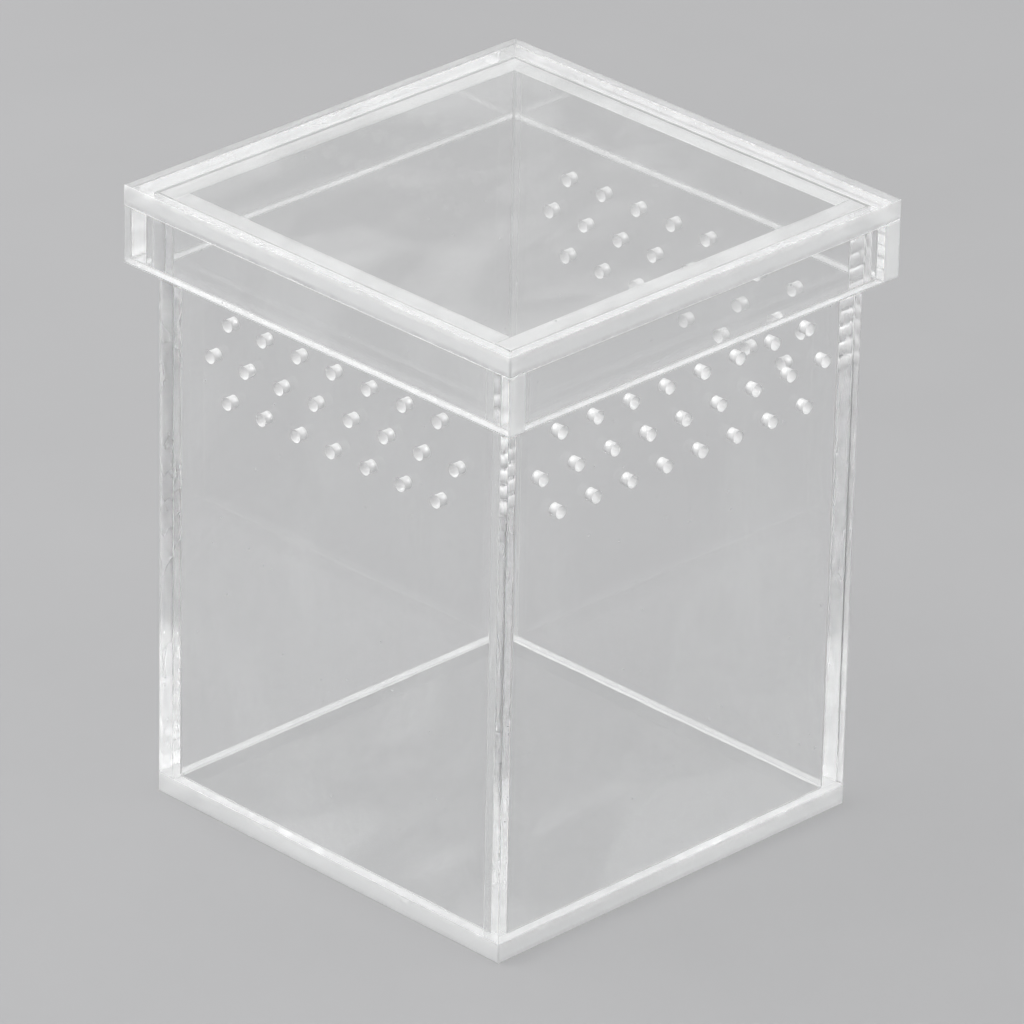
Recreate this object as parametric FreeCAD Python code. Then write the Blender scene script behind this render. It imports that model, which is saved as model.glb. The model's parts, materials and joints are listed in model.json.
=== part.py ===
"""Clear acrylic queen cage: a laser-cut sheet box with vent holes and a lift-off cap lid.

Units are millimetres. The origin is the centre of the base plate's underside and +Z is up.
The front wall faces -Y, the back wall +Y, the left wall -X and the right wall +X.
Every piece is cut from one thickness of sheet and solvent-welded edge to face.
"""
import FreeCAD, Part
import math
import os

# Driving dimensions
SHEET = 3.0                  # thickness of the acrylic sheet that every piece is cut from
BOX_WIDTH = 70.0             # outside width of the square box
WALL_HEIGHT = 90.0           # height of the four walls, which stand on the base plate
LID_CLEARANCE = 0.5          # gap on each side between the box and the lid's strips
STRIP_HEIGHT = 9.0           # how far the lid's strips hang down below the lid plate

HOLE_DIAMETER = 1.8          # vent holes, too small for a bee's head
HOLE_PITCH = 7.0             # distance between neighbouring holes, in a row and across rows
ROW_DROP = 20.0              # middle row of holes, below the top of the wall
FRONT_ROW_COUNTS = (8, 9, 8)   # holes in each row of the front wall, from the top row down
SIDE_ROW_COUNTS = (7, 8, 7)    # holes in each row of a side wall, from the top row down
MIDDLE_ROW = 1                 # the middle row's place in a list of rows that starts at 0

# Worked out from the driving dimensions
ROW_PITCH = HOLE_PITCH * math.sin(math.radians(60.0))   # rows nest as equilateral triangles
SIDE_WALL_WIDTH = BOX_WIDTH - 2 * SHEET                 # side walls fit between front and back
WALL_TOP = SHEET + WALL_HEIGHT
WALL_MIDDLE = (BOX_WIDTH - SHEET) / 2                   # centre line of a wall's thickness
LID_INSIDE = BOX_WIDTH + 2 * LID_CLEARANCE
LID_WIDTH = LID_INSIDE + 2 * SHEET
STRIP_MIDDLE = (LID_WIDTH - SHEET) / 2                  # centre line of a strip's thickness
STRIP_BOTTOM = WALL_TOP - STRIP_HEIGHT
DRILL_LENGTH = 3 * SHEET                                # goes in and out past both faces of a wall

PARTS_FOLDER = "parts"


def sheet_piece(size_x, size_y, size_z, centre_x, centre_y, bottom_z):
    """One rectangular piece of sheet, placed by its centre in plan and its lower face."""
    corner = FreeCAD.Vector(centre_x - size_x / 2, centre_y - size_y / 2, bottom_z)
    return Part.makeBox(size_x, size_y, size_z, corner)


def hole_centres(row_counts):
    """Places of a wall's vent holes, as distances along the wall and heights."""
    middle_z = WALL_TOP - ROW_DROP
    for row, count in enumerate(row_counts):
        height = middle_z + (MIDDLE_ROW - row) * ROW_PITCH
        first = -(count - 1) * HOLE_PITCH / 2
        for column in range(count):
            yield first + column * HOLE_PITCH, height


def drilled(wall, row_counts, along_x):
    """The wall with its vent holes, which go straight through its thickness."""
    direction = FreeCAD.Vector(0, 1, 0) if along_x else FreeCAD.Vector(1, 0, 0)
    across = wall.BoundBox.Center.dot(direction)
    drills = []
    for offset, height in hole_centres(row_counts):
        if along_x:
            start = FreeCAD.Vector(offset, across - DRILL_LENGTH / 2, height)
        else:
            start = FreeCAD.Vector(across - DRILL_LENGTH / 2, offset, height)
        drills.append(Part.makeCylinder(HOLE_DIAMETER / 2, DRILL_LENGTH, start, direction))
    return wall.cut(Part.makeCompound(drills)).Solids[0]


def box_pieces():
    """Base plate and four walls. Front and back walls cover the ends of the side walls."""
    base_plate = sheet_piece(BOX_WIDTH, BOX_WIDTH, SHEET, 0, 0, 0)
    front_blank = sheet_piece(BOX_WIDTH, SHEET, WALL_HEIGHT, 0, -WALL_MIDDLE, SHEET)
    back_wall = sheet_piece(BOX_WIDTH, SHEET, WALL_HEIGHT, 0, WALL_MIDDLE, SHEET)
    left_blank = sheet_piece(SHEET, SIDE_WALL_WIDTH, WALL_HEIGHT, -WALL_MIDDLE, 0, SHEET)
    right_blank = sheet_piece(SHEET, SIDE_WALL_WIDTH, WALL_HEIGHT, WALL_MIDDLE, 0, SHEET)
    return {
        "base_plate": base_plate,
        "front_wall": drilled(front_blank, FRONT_ROW_COUNTS, along_x=True),
        "back_wall": back_wall,
        "left_wall": drilled(left_blank, SIDE_ROW_COUNTS, along_x=False),
        "right_wall": drilled(right_blank, SIDE_ROW_COUNTS, along_x=False),
    }


def lid_pieces():
    """Lid plate, lying on the wall tops, and the four strips that hang under its edges."""
    lid_top = sheet_piece(LID_WIDTH, LID_WIDTH, SHEET, 0, 0, WALL_TOP)
    pieces = {"lid_top": lid_top}
    for name, side in (("lid_left_strip", -1), ("lid_right_strip", 1)):
        strip_x = side * STRIP_MIDDLE
        pieces[name] = sheet_piece(SHEET, LID_WIDTH, STRIP_HEIGHT, strip_x, 0, STRIP_BOTTOM)
    for name, side in (("lid_front_strip", -1), ("lid_back_strip", 1)):
        strip_y = side * STRIP_MIDDLE
        pieces[name] = sheet_piece(LID_INSIDE, SHEET, STRIP_HEIGHT, 0, strip_y, STRIP_BOTTOM)
    return pieces


def export(pieces):
    """One STEP file for each piece, named after it."""
    os.makedirs(PARTS_FOLDER, exist_ok=True)
    for name, shape in pieces.items():
        shape.exportStep(f"{PARTS_FOLDER}/{name}.step")
        print(name, "volume", round(shape.Volume, 1), "mm3", "solids", len(shape.Solids))


export({**box_pieces(), **lid_pieces()})
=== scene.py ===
"""Looks of the clear acrylic queen cage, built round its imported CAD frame.

Every CAD node is one piece of 3 mm sheet. Each is replaced by a closed mesh of the same size with
the detail of the real piece: polished faces, laser-cut edges with drag lines, a small chipped arris
along every edge, and tapered vent holes. Where two pieces are cemented, their touching faces get
the joint's material, which lets light straight through as solvent-welded acrylic does. Thin beads
of set cement lie along the inner corners.
"""

import json
import math

import bmesh
import bpy
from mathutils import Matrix, Quaternion, Vector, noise
from mathutils.geometry import delaunay_2d_cdt


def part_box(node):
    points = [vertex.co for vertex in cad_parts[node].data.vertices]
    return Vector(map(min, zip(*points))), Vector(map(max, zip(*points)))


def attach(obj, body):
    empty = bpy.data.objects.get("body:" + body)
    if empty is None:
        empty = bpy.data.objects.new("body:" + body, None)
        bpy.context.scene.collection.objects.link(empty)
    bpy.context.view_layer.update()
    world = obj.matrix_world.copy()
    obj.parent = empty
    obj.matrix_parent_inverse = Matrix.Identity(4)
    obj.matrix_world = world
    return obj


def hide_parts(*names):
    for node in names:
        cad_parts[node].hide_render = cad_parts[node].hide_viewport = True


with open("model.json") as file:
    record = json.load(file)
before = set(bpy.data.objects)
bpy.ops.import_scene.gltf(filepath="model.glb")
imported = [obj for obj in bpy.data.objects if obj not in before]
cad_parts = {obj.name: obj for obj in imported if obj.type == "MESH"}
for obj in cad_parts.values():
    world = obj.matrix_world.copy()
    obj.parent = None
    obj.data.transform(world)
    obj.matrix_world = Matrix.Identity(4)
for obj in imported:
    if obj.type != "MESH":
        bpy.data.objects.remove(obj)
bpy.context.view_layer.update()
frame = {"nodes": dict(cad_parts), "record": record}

MM = 0.001

# Camera, at the distance and angles from which the cage is looked at
VIEW_AZIMUTH = -45.16        # degrees round the cage, from in front towards its left
VIEW_ELEVATION = 26.34       # degrees above the horizon
VIEW_DISTANCE = 1275 * MM
VIEW_ROLL = 1.16             # degrees
VIEW_HEIGHT = 46 * MM        # height of the point looked at
VIEW_SIDE = 0.8 * MM         # how far that point is to the right of the cage's middle
LENS = 314.6                 # millimetres, on a 36 mm wide sensor
SENSOR = 36.0
NEAREST, FARTHEST = 0.05, 20.0   # metres between which the camera sees

# Studio, in metres and watts
LIGHTS = {                   # each softbox's place, size and power
    "key": ((-0.35, 0.5, 1.35), 1.2, 10.5),
    "left_side": ((-1.1, 1.1, 1.25), 1.4, 10.0),
    "right_side": ((1.1, -1.1, 1.25), 1.4, 10.0),
}
LIT_POINT = Vector((0, 0, 0.05))   # what the softboxes face
SURROUND = 0.5               # strength of the even white light from all round
FLOOR_HALF = 3.0             # half the floor's width
FLOOR_DROP = 0.06 * MM       # how far the floor lies below the cage's underside
FLOOR_TONES = (0.425, 0.44)  # the floor's darkest and palest grey
FLOOR_BLUE = 1.015           # its blue, as a share of its red and green
MOST_BOUNCES = 32            # in and out of the sheet
MOST_TRANSPARENT = 48        # straight through cemented joints
MOST_DIFFUSE = 3             # between white surfaces

# Acrylic
ACRYLIC_IOR = 1.49
CLEAR = (0.994, 0.995, 0.995)    # tint of the bulk at each face
LIT_TINT = (0.979, 0.98, 0.98)   # tint that the light through a face gives what it falls on
FILM = (0.96, 0.965, 0.965)      # smears, scratches and dust
FROST = (0.98, 0.985, 0.985)     # cut and cemented acrylic where it is white
BURNT_FROST = (0.99, 0.99, 0.99)   # the same on the walls of the vent holes

# Sheet and how it is cut
Z_AXIS = 2
LOWER, RIGHT, UPPER, LEFT = range(4)   # sides of a piece's outline, in the order of its corners
ARRIS = 0.05 * MM            # small bevel along each cut edge, where it isn't chipped
SEAM_ARRIS = 0.02 * MM       # what is left of it where solvent has closed a seam
CHIP = 0.04 * MM             # how much wider the arris gets at the largest chips
PLATE_CHIPS = (0.4 * MM, 0.14 * MM)   # the same for the lid plate's lower and upper edges
PLATE_ARRIS = 0.1 * MM       # bevel along the upper edge of a lid strip, under the plate
CHIP_LENGTH = 0.5 * MM       # rough length of a chip
CHIP_TRACKS = (5.4, 17.4)    # where in the noise the chips along the low and the high face lie
DRAG_TRACK = 0.6             # how far the drag lines go through the noise over the thickness
SIDE_APART = 17.3            # how far apart in the noise two neighbouring sides lie
FOOT_ARRIS = 0.25 * MM       # bevel along the lower edge of the lid's strips
SPLIT_MARGIN = 2 * FOOT_ARRIS   # nearest to a piece's edge that its polished faces are split
DRAG_PITCH = 0.42 * MM       # spacing of the points that carry a cut edge's drag lines
DRAG_LENGTH = 1.4 * DRAG_PITCH   # rough length of their ups and downs along the edge
DRAG_DEPTH = 0.01 * MM       # how deep the drag lines are
FLAMED_DEPTH = 0.002 * MM    # what a flame leaves of them on the upright cuts of the walls
DRAG_LEAN = 0.5              # how far a drag line leans over the thickness, as a share of it
CUT_RINGS = (0.0, 0.3, 0.65, 1.0)   # where across the thickness a cut face has its points
FEWEST_STEPS = 4             # points along the shortest edge
CEMENT_GAP = 0.01 * MM       # cut face to the face that it is cemented to
TOUCH = 6 * CEMENT_GAP       # how far beyond a face a cemented neighbour is looked for
LEVEL = 0.5                  # least part of a level face's normal that is upright
REST_GAP = 0.05 * MM         # wall top to the loose lid
INSIDE_EDGES = 1             # output type of the triangulation: triangles inside its edges
MERGE = 1e-5                 # millimetres within which the triangulation takes points as one
WELD = 1e-6                  # metres within which an edit of a mesh takes points as one
HOLE_SIDES = 28
HOLE_RADIUS = 0.9 * MM
HOLE_TAPER = 0.04 * MM       # a laser-cut hole is that much wider in radius where the beam went in
HOLE_ARRIS = 0.05 * MM
HOLE_PITCH = 7.0 * MM
HOLE_ROW_PITCH = HOLE_PITCH * math.sin(math.radians(60))   # rows nest as equilateral triangles
HOLE_ROW_DROP = 20.0 * MM    # middle row, below the wall's top
MIDDLE_ROW = 1
FRONT_ROWS = (8, 9, 8)
SIDE_ROWS = (7, 8, 7)
VENT_ROWS = {"front_wall": FRONT_ROWS, "left_wall": SIDE_ROWS, "right_wall": SIDE_ROWS}

# Cement beads along the inner corners
BEAD_SIZE = 0.28 * MM
BEAD_STEP = 0.6 * MM
BEAD_WAVE = 2.5 * MM         # rough length of a bead's thick and thin stretches
BEAD_ARC = 4                 # facets of a bead's hollow face
BEAD_MEAN, BEAD_SWELL = 0.8, 0.4   # a bead's usual size and how far it swells, as shares
BEAD_MARGIN = 1.5 * BEAD_SIZE    # from a corner to the end of a bead


# ---------------------------------------------------------------- materials

class Nodes:
    """A material's node tree, with short ways to add and join nodes."""

    def __init__(self, name):
        self.material = bpy.data.materials.new(name)
        self.material.use_nodes = True
        self.tree = self.material.node_tree
        self.tree.nodes.clear()

    def add(self, kind, **inputs):
        node = self.tree.nodes.new(kind)
        for key, value in inputs.items():
            self.put(node.inputs[key.replace("_", " ")], value)
        return node

    def put(self, socket, value):
        if isinstance(value, bpy.types.NodeSocket):
            self.tree.links.new(value, socket)
        else:
            socket.default_value = value

    def place(self):
        return self.tree.nodes.new("ShaderNodeTexCoord").outputs["Object"]

    def stretched(self, vector, scale):
        return self.add("ShaderNodeMapping", Vector=vector, Scale=scale).outputs["Vector"]

    def noise(self, vector, scale, detail, roughness, distortion=0.0):
        node = self.add("ShaderNodeTexNoise", Vector=vector, Scale=scale, Detail=detail,
                        Roughness=roughness, Distortion=distortion)
        return node.outputs["Fac"]

    def cells(self, vector, scale):
        return self.add("ShaderNodeTexVoronoi", Vector=vector, Scale=scale).outputs["Distance"]

    def ramp(self, value, low, high, to_low=0.0, to_high=1.0):
        node = self.add("ShaderNodeMapRange", Value=value, From_Min=low, From_Max=high,
                        To_Min=to_low, To_Max=to_high)
        return node.outputs["Result"]

    def maths(self, operation, first, second):
        node = self.tree.nodes.new("ShaderNodeMath")
        node.operation = operation
        self.put(node.inputs[0], first)
        self.put(node.inputs[1], second)
        return node.outputs["Value"]

    def bump(self, height, distance, strength):
        node = self.add("ShaderNodeBump", Height=height, Distance=distance, Strength=strength)
        return node.outputs["Normal"]

    def mixed(self, share, first, second):
        mix = self.tree.nodes.new("ShaderNodeMixShader")
        for socket, value in zip(mix.inputs, (share, first, second)):
            self.put(socket, value)
        return mix.outputs["Shader"]

    def lit_through(self, shader, share, tint=(1, 1, 1)):
        """Lets a share of the light that falls on things through the acrylic, straight on."""
        path = self.tree.nodes.new("ShaderNodeLightPath")
        lamp_ray = self.maths("MAXIMUM", path.outputs["Is Shadow Ray"], path.outputs["Is Diffuse Ray"])
        through = self.add("ShaderNodeBsdfTransparent", Color=(*tint, 1))
        return self.mixed(self.maths("MULTIPLY", lamp_ray, share), shader, through.outputs["BSDF"])

    def output(self, shader):
        out = self.tree.nodes.new("ShaderNodeOutputMaterial")
        self.tree.links.new(shader, out.inputs["Surface"])
        return self.material


def polished_acrylic():
    """The sheet's cast faces: clear, with faint smears, wiped patches, fine scratches and dust."""
    n = Nodes("polished_acrylic")
    place = n.place()
    smears = n.noise(n.stretched(place, (1.0, 2.2, 1.0)), scale=38.0, detail=5.0, roughness=0.62,
                     distortion=1.2)
    wipes = n.noise(n.stretched(place, (1.0, 1.6, 1.0)), scale=19.0, detail=2.0, roughness=0.45,
                    distortion=0.9)
    scratches = n.noise(n.stretched(place, (9.0, 1.0, 5.0)), scale=240.0, detail=2.0, roughness=0.5,
                        distortion=0.4)
    specks = n.cells(place, scale=190.0)
    marks = 0.01
    for mark in (n.ramp(smears, low=0.50, high=0.80, to_high=0.09),
                 n.ramp(scratches, low=0.70, high=0.80, to_high=0.05),
                 n.ramp(wipes, low=0.52, high=0.57, to_high=0.045),
                 n.ramp(specks, low=0.02, high=0.05, to_low=0.3, to_high=0.0)):
        marks = n.maths("ADD", mark, marks)
    waves = n.noise(place, scale=55.0, detail=1.0, roughness=0.4)
    clear = n.add("ShaderNodeBsdfPrincipled", Base_Color=(*CLEAR, 1), Roughness=0.0,
                  IOR=ACRYLIC_IOR, Transmission_Weight=1.0,
                  Normal=n.bump(waves, distance=0.02 * MM, strength=1.0))
    film = n.add("ShaderNodeBsdfDiffuse", Color=(*FILM, 1))
    marked = n.mixed(marks, clear.outputs["BSDF"], film.outputs["BSDF"])
    return n.output(n.lit_through(marked, share=1.0, tint=LIT_TINT))


def cut_acrylic(name, roughness, clearness, lamp_share, colour=FROST):
    """A cut surface, part glass and part white frost. Each pair is for its clear and frosted patches."""
    n = Nodes(name)
    place = n.place()
    patches = n.noise(place, scale=130.0, detail=3.0, roughness=0.6)
    grain = n.noise(place, scale=900.0, detail=2.0, roughness=0.6)
    shader = n.add("ShaderNodeBsdfPrincipled", Base_Color=(*colour, 1), IOR=ACRYLIC_IOR,
                   Roughness=n.ramp(patches, 0.35, 0.7, *roughness),
                   Transmission_Weight=n.ramp(patches, 0.3, 0.72, *clearness),
                   Normal=n.bump(grain, distance=0.03 * MM, strength=0.6))
    return n.output(n.lit_through(shader.outputs["BSDF"], share=lamp_share))


def cemented_acrylic(name, least_haze, most_haze):
    """A solvent-welded joint: light goes straight through, but for some haze and small bubbles."""
    n = Nodes(name)
    place = n.place()
    clouds = n.noise(place, scale=160.0, detail=3.0, roughness=0.6)
    haze = n.ramp(clouds, low=0.35, high=0.7, to_low=least_haze, to_high=most_haze)
    bubbles = n.ramp(n.cells(place, scale=700.0), low=0.08, high=0.14, to_low=0.22, to_high=0.0)
    white = n.add("ShaderNodeBsdfDiffuse", Color=(*FROST, 1))
    through = n.add("ShaderNodeBsdfTransparent")
    joint = n.mixed(n.maths("MAXIMUM", haze, bubbles), through.outputs["BSDF"], white.outputs["BSDF"])
    return n.output(n.lit_through(joint, share=0.8))


POLISHED, FROSTED, CHIPPED, FLAMED, HOLE, BASE_JOINT, LID_JOINT, UPRIGHT_JOINT, BEAD = range(9)
MATERIALS = [
    polished_acrylic(),
    cut_acrylic("frosted_edge", roughness=(0.3, 0.45), clearness=(0.55, 0.35), lamp_share=0.7),
    cut_acrylic("chipped_arris", roughness=(0.3, 0.45), clearness=(0.45, 0.2), lamp_share=0.7),
    cut_acrylic("flamed_edge", roughness=(0.03, 0.12), clearness=(0.93, 0.8), lamp_share=0.8),
    cut_acrylic("vent_hole_wall", roughness=(0.3, 0.42), clearness=(0.3, 0.1), lamp_share=0.8,
                colour=BURNT_FROST),
    cemented_acrylic("cemented_base_joint", least_haze=0.3, most_haze=0.4),
    cemented_acrylic("cemented_lid_joint", least_haze=0.08, most_haze=0.2),
    cemented_acrylic("cemented_upright_joint", least_haze=0.03, most_haze=0.14),
    cut_acrylic("cement_bead", roughness=(0.05, 0.2), clearness=(0.35, 0.15), lamp_share=0.8),
]


def with_materials(name, bm):
    """An object from a finished bmesh, with every material in its slot."""
    mesh = bpy.data.meshes.new(name)
    bm.to_mesh(mesh)
    bm.free()
    for material in MATERIALS:
        mesh.materials.append(material)
    piece = bpy.data.objects.new(name, mesh)
    bpy.context.scene.collection.objects.link(piece)
    return piece


# ---------------------------------------------------------------- sheet pieces

class Sheet:
    """One piece of sheet: its box, the axis that it is thin along, and the two that it spans."""

    def __init__(self, node):
        self.node = node
        self.low, self.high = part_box(node)
        size = self.high - self.low
        self.thin = min(range(3), key=lambda axis: size[axis])
        self.across, self.up = [axis for axis in range(3) if axis != self.thin]
        self.thickness = size[self.thin]
        self.is_upright = self.thin != Z_AXIS
        self.is_wall = node.endswith("_wall")
        self.is_lid = node.startswith("lid_")
        self.top_gap = REST_GAP if self.is_wall else 0.0
        self.foot_arris = FOOT_ARRIS if node.endswith("_strip") else ARRIS
        self.chips = PLATE_CHIPS if node == "lid_top" else (CHIP, CHIP)
        self.cemented_to = []

    def point(self, across, up, depth):
        """A point of the piece, from its two flat co-ordinates and its depth from the low face."""
        p = Vector((0, 0, 0))
        p[self.across] = across
        p[self.up] = up
        p[self.thin] = self.low[self.thin] + depth
        return p

    def contains(self, p):
        return all(self.low[axis] < p[axis] < self.high[axis] for axis in range(3))

    def meets(self, p):
        """Whether a point lies in a piece that this one is cemented to."""
        return any(other.contains(p) for other in self.cemented_to)

    def is_seam(self, side, share):
        """Whether the edge between one side's cut and one face runs along a cemented seam."""
        middle = (self.low + self.high) / 2
        out = Vector((0, 0, 0))
        out[self.across if side in (RIGHT, LEFT) else self.up] = 1 if side in (RIGHT, UPPER) else -1
        face = Vector((0, 0, 0))
        face[self.thin] = 2 * share - 1
        reach = [abs(v) for v in (self.high - self.low) / 2]
        edge = middle + Vector([(out[k] + face[k]) * reach[k] for k in range(3)])
        aside = (out - face) * TOUCH
        return self.meets(edge + aside) or self.meets(edge - aside)


def wander(sheet, side, along, track, length):
    """A smooth random number from -1 to 1 at a place on a cut edge, the same on each run.

    Its ups and downs are about one length long, and each track has different ones.
    """
    return noise.noise(Vector((along / length, SIDE_APART * side + len(sheet.node), track)))


def drag_line(sheet, side, along, share):
    """Depth of a cut face's drag lines at one place."""
    leaned = along + share * sheet.thickness * DRAG_LEAN
    deepest = FLAMED_DEPTH if sheet.is_wall and side in (RIGHT, LEFT) else DRAG_DEPTH
    return deepest * (1 + wander(sheet, side, leaned, DRAG_TRACK * share, DRAG_LENGTH)) / 2


def arris_width(sheet, side, along, share):
    """Width of the bevel along an edge, with its chips, which solvent has filled along a seam."""
    if sheet.is_upright and sheet.is_seam(side, share):
        return PLATE_ARRIS if side == UPPER else SEAM_ARRIS
    plain = sheet.foot_arris if side == LOWER else ARRIS
    face = round(share)
    chip = wander(sheet, side, along, CHIP_TRACKS[face], CHIP_LENGTH)
    return plain + sheet.chips[face] * max(0.0, chip)


def outline(sheet, share, on_face):
    """The closed loop of points round a piece, at a share of its thickness, on a face or a cut."""
    a0, a1 = sheet.low[sheet.across], sheet.high[sheet.across]
    b0, b1 = sheet.low[sheet.up], sheet.high[sheet.up]
    corners = [(a0, b0), (a1, b0), (a1, b1), (a0, b1)]
    inward = [Vector((0, 1)), Vector((-1, 0)), Vector((0, -1)), Vector((1, 0))]
    gaps = [CEMENT_GAP, CEMENT_GAP, CEMENT_GAP + sheet.top_gap, CEMENT_GAP]

    def depth(side, along):
        detail = arris_width if on_face else drag_line
        return gaps[side] + detail(sheet, side, along, share)

    points = []
    for side in (LOWER, RIGHT, UPPER, LEFT):
        start, end = Vector(corners[side]), Vector(corners[(side + 1) % len(corners)])
        length = (end - start).length
        steps = max(FEWEST_STEPS, round(length / DRAG_PITCH))
        before = (side - 1) % len(corners)
        points.append(start + inward[side] * depth(side, 0.0) + inward[before] * depth(before, 0.0))
        for i in range(1, steps):
            along = length * i / steps
            points.append(start.lerp(end, i / steps) + inward[side] * depth(side, along))
    return points


def hole_places(sheet):
    """Centres of a wall's vent holes in its flat co-ordinates."""
    middle = sheet.high[sheet.up] - HOLE_ROW_DROP
    for row, count in enumerate(VENT_ROWS.get(sheet.node, ())):
        for column in range(count):
            across = (column - (count - 1) / 2) * HOLE_PITCH
            yield across, middle + (MIDDLE_ROW - row) * HOLE_ROW_PITCH


def circle(centre, radius):
    turn = 2 * math.pi / HOLE_SIDES
    return [(centre[0] + radius * math.cos(i * turn), centre[1] + radius * math.sin(i * turn))
            for i in range(HOLE_SIDES)]


def ring_of(bm, sheet, points, depth):
    return [bm.verts.new(sheet.point(a, b, depth)) for a, b in points]


def skin(bm, rings, material, smooth=True):
    """Quads between neighbouring rings of vertices."""
    for low, high in zip(rings, rings[1:]):
        for i in range(len(low)):
            j = (i + 1) % len(low)
            face = bm.faces.new((low[i], low[j], high[j], high[i]))
            face.material_index = material
            face.smooth = smooth


def cap(bm, sheet, loops):
    """A flat face of triangles, from its outer loop of vertices and the loops of its holes."""
    verts, edges = [], []
    for loop in loops:
        start, count = len(verts), len(loop)
        verts += loop
        edges += [(start + i, start + (i + 1) % count) for i in range(count)]
    flat = [Vector((v.co[sheet.across], v.co[sheet.up])) / MM for v in verts]
    places, _, triangles, source, _, _ = delaunay_2d_cdt(flat, edges, [], INSIDE_EDGES, MERGE)
    centres = [Vector(centre) / MM for centre in hole_places(sheet)]
    mouth = (HOLE_RADIUS + HOLE_TAPER + HOLE_ARRIS) / MM
    for corners in triangles:
        middle = sum((places[i] for i in corners), Vector((0, 0))) / 3
        if all((middle - centre).length > mouth for centre in centres):
            bm.faces.new([verts[source[i][0]] for i in corners]).material_index = POLISHED


def edge_rings(bm, sheet):
    """Rings of vertices round the outside: face, cut face at several depths, other face."""
    t = sheet.thickness
    rings = [ring_of(bm, sheet, outline(sheet, 0.0, True), 0.0)]
    for share in CUT_RINGS:
        rings.append(ring_of(bm, sheet, outline(sheet, share, False), ARRIS + share * (t - 2 * ARRIS)))
    rings.append(ring_of(bm, sheet, outline(sheet, 1.0, True), t))
    return rings


def hole_rings(bm, sheet, centre):
    t = sheet.thickness
    wide, narrow = HOLE_RADIUS + HOLE_TAPER, HOLE_RADIUS
    levels = [(wide + HOLE_ARRIS, 0.0), (wide, HOLE_ARRIS), ((wide + narrow) / 2, t / 2),
              (narrow, t - HOLE_ARRIS), (narrow + HOLE_ARRIS, t)]
    return [ring_of(bm, sheet, circle(centre, radius), depth) for radius, depth in levels]


def walled(bm, rings, arris, wall):
    """The skin round an outline or a hole: an arris, the smooth wall and the other arris."""
    skin(bm, rings[:2], arris, smooth=False)
    skin(bm, rings[1:-1], wall)
    skin(bm, rings[-2:], arris, smooth=False)


def split_polished(bm, axis, at):
    """Cuts the polished faces along a plane across one axis."""
    faces = [f for f in bm.faces if f.material_index == POLISHED]
    edges = {e for f in faces for e in f.edges}
    verts = {v for f in faces for v in f.verts}
    normal = Vector([float(k == axis) for k in range(3)])
    bmesh.ops.bisect_plane(bm, geom=[*verts, *edges, *faces], dist=WELD, plane_co=normal * at,
                           plane_no=normal)


def finish_surfaces(bm, sheet):
    """Gives what touches a cemented neighbour the joint's material, and upright cuts the flamed one."""
    for other in sheet.cemented_to:
        for axis in (sheet.across, sheet.up):
            for at in (other.low[axis], other.high[axis]):
                if sheet.low[axis] + SPLIT_MARGIN < at < sheet.high[axis] - SPLIT_MARGIN:
                    split_polished(bm, axis, at)
    bm.normal_update()
    for face in bm.faces:
        if face.material_index not in (POLISHED, FROSTED):
            continue
        is_level_face = abs(face.normal.z) > LEVEL
        beyond = face.calc_center_median() + face.normal * TOUCH
        if sheet.meets(beyond):
            level_joint = LID_JOINT if sheet.is_lid else BASE_JOINT
            face.material_index = level_joint if is_level_face else UPRIGHT_JOINT
        elif face.material_index == FROSTED and sheet.is_wall and not is_level_face:
            face.material_index = FLAMED


def sheet_piece(sheet):
    """Builds the detailed mesh of one piece of sheet, which stands for its CAD node."""
    bm = bmesh.new()
    rings = edge_rings(bm, sheet)
    walled(bm, rings, CHIPPED, FROSTED)
    holes = [hole_rings(bm, sheet, centre) for centre in hole_places(sheet)]
    for levels in holes:
        walled(bm, levels, HOLE, HOLE)
    cap(bm, sheet, [rings[0]] + [levels[0] for levels in holes])
    cap(bm, sheet, [rings[-1]] + [levels[-1] for levels in holes])
    bmesh.ops.recalc_face_normals(bm, faces=bm.faces[:])
    finish_surfaces(bm, sheet)
    bmesh.ops.dissolve_degenerate(bm, dist=WELD, edges=bm.edges[:])
    return with_materials(sheet.node + "_sheet", bm)


def build_sheets():
    sheets = {node: Sheet(node) for node in sorted(frame["nodes"])}
    for body, members in frame["record"]["behaviour"]["bodies"].items():
        for node in members:
            sheets[node].cemented_to = [sheets[other] for other in members if other != node]
            piece = sheet_piece(sheets[node])
            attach(piece, body)
            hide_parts(node)


# ---------------------------------------------------------------- cement beads

def bead(bm, start, end, first, second):
    """A hollow-faced fillet of cement from start to end. Its two ways lie along the faces it joins."""
    steps = round((end - start).length / BEAD_STEP)
    rings = []
    for i in range(steps + 1):
        at = start.lerp(end, i / steps) + (first + second) * CEMENT_GAP
        size = BEAD_SIZE * (BEAD_MEAN + BEAD_SWELL * noise.noise(at / BEAD_WAVE))
        ring = [bm.verts.new(at)]
        for k in range(BEAD_ARC + 1):
            turn = math.pi / 2 * k / BEAD_ARC
            arc = first * (1 - math.sin(turn)) + second * (1 - math.cos(turn))
            ring.append(bm.verts.new(at + arc * size))
        rings.append(ring)
    skin(bm, rings, BEAD)
    for ring in (rings[0], rings[-1]):
        bm.faces.new(ring).material_index = BEAD


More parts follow.
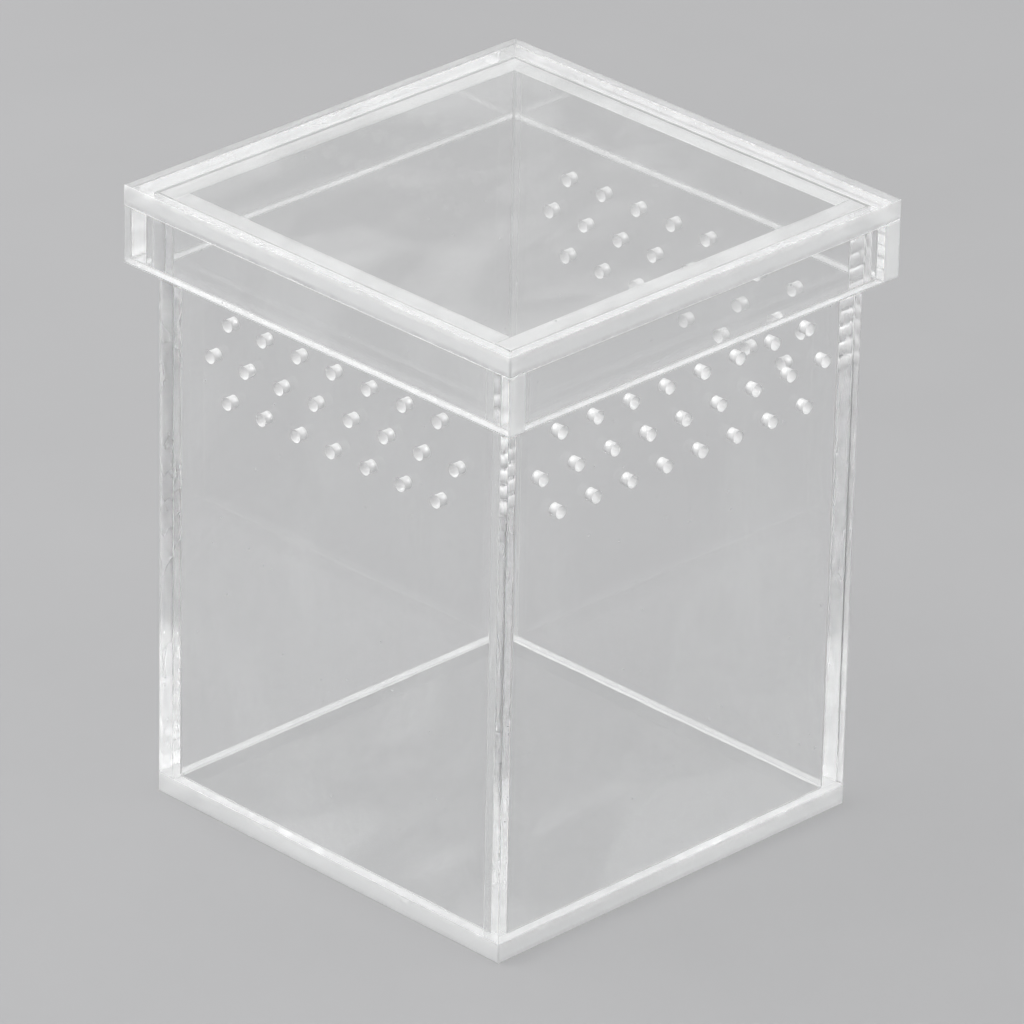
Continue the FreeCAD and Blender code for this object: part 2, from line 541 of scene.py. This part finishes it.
def beads_in(name, body, sides, plate, way):
    """Beads in the corners between four upright pieces and the plate that they meet, in one piece."""
    left, right, front, back = [Sheet(node) for node in sides]
    low = Vector((left.high.x, front.high.y, left.low.z))
    high = Vector((right.low.x, back.low.y, left.high.z))
    seam_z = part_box(plate)[1].z if way > 0 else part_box(plate)[0].z
    far_z = high.z if way > 0 else low.z
    up = Vector((0, 0, way))
    x_margin, y_margin = Vector((BEAD_MARGIN, 0, 0)), Vector((0, BEAD_MARGIN, 0))
    bm = bmesh.new()
    for x, towards_x in ((low.x, 1), (high.x, -1)):
        across = Vector((towards_x, 0, 0))
        front_end, back_end = Vector((x, low.y, seam_z)), Vector((x, high.y, seam_z))
        bead(bm, front_end + y_margin, back_end - y_margin, across, up)
        for y, towards_y in ((low.y, 1), (high.y, -1)):
            foot, head = Vector((x, y, seam_z)), Vector((x, y, far_z))
            bead(bm, foot + up * BEAD_MARGIN, head - up * BEAD_MARGIN, across, Vector((0, towards_y, 0)))
    for y, towards_y in ((low.y, 1), (high.y, -1)):
        left_end, right_end = Vector((low.x, y, seam_z)), Vector((high.x, y, seam_z))
        bead(bm, left_end + x_margin, right_end - x_margin, Vector((0, towards_y, 0)), up)
    bmesh.ops.recalc_face_normals(bm, faces=bm.faces[:])
    piece = with_materials(name, bm)
    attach(piece, body)


def build_beads():
    walls = ("left_wall", "right_wall", "front_wall", "back_wall")
    strips = ("lid_left_strip", "lid_right_strip", "lid_front_strip", "lid_back_strip")
    beads_in("box_cement_beads", "box", walls, "base_plate", 1)
    beads_in("lid_cement_beads", "lid", strips, "lid_top", -1)


# ---------------------------------------------------------------- studio

def floor():
    """A plain pale floor, a hair below the cage."""
    n = Nodes("pale_floor")
    clouds = n.noise(n.place(), scale=14.0, detail=4.0, roughness=0.6)
    tone = n.ramp(clouds, 0.3, 0.7, *FLOOR_TONES)
    blue = n.maths("MULTIPLY", tone, FLOOR_BLUE)
    colour = n.add("ShaderNodeCombineColor", Red=tone, Green=tone, Blue=blue)
    shader = n.add("ShaderNodeBsdfPrincipled", Base_Color=colour.outputs["Color"], Roughness=0.7)
    mesh = bpy.data.meshes.new("studio_floor")
    signs = ((-1, -1), (1, -1), (1, 1), (-1, 1))
    corners = [(x * FLOOR_HALF, y * FLOOR_HALF, -FLOOR_DROP) for x, y in signs]
    mesh.from_pydata(corners, [], [(0, 1, 2, 3)])
    mesh.materials.append(n.output(shader.outputs["BSDF"]))
    ground = bpy.data.objects.new("studio_floor", mesh)
    bpy.context.scene.collection.objects.link(ground)


def soft_light(name, place, size, power):
    """A square softbox that faces the cage."""
    data = bpy.data.lights.new(name, "AREA")
    data.shape = "SQUARE"
    data.size = size
    data.energy = power
    lamp = bpy.data.objects.new(name, data)
    lamp.location = place
    lamp.rotation_mode = "QUATERNION"
    lamp.rotation_quaternion = (LIT_POINT - Vector(place)).to_track_quat("-Z", "Y")
    bpy.context.scene.collection.objects.link(lamp)


def surround():
    """Even white light from all round."""
    made = bpy.data.worlds.new("studio")
    bpy.context.scene.world = made
    made.use_nodes = True
    background = made.node_tree.nodes["Background"]
    background.inputs["Color"].default_value = (1.0, 1.0, 1.0, 1)
    background.inputs["Strength"].default_value = SURROUND


def camera():
    """The camera, on a circle round the cage, level but for a little roll."""
    turn, lift = math.radians(VIEW_AZIMUTH), math.radians(VIEW_ELEVATION)
    back = Vector((math.sin(turn) * math.cos(lift), -math.cos(turn) * math.cos(lift), math.sin(lift)))
    right = Vector((math.cos(turn), math.sin(turn), 0))
    target = Vector((0, 0, VIEW_HEIGHT)) + right * VIEW_SIDE
    data = bpy.data.cameras.new("camera")
    data.lens = LENS
    data.sensor_width = SENSOR
    data.clip_start = NEAREST
    data.clip_end = FARTHEST
    eye = bpy.data.objects.new("camera", data)
    eye.location = target + back * VIEW_DISTANCE
    eye.rotation_mode = "QUATERNION"
    level = (-back).to_track_quat("-Z", "Y")
    eye.rotation_quaternion = level @ Quaternion((0, 0, 1), math.radians(VIEW_ROLL))
    bpy.context.scene.collection.objects.link(eye)
    bpy.context.scene.camera = eye


def light_paths():
    """Light runs far along clear sheet before it leaves, so it gets many bounces."""
    cycles = bpy.context.scene.cycles
    cycles.max_bounces = MOST_BOUNCES
    cycles.glossy_bounces = MOST_BOUNCES
    cycles.transmission_bounces = MOST_BOUNCES
    cycles.transparent_max_bounces = MOST_TRANSPARENT
    cycles.diffuse_bounces = MOST_DIFFUSE


camera()
floor()
surround()
for light, (place, size, power) in LIGHTS.items():
    soft_light(light, place, size, power)
light_paths()
bpy.context.scene.view_settings.view_transform = "Standard"
build_sheets()
build_beads()
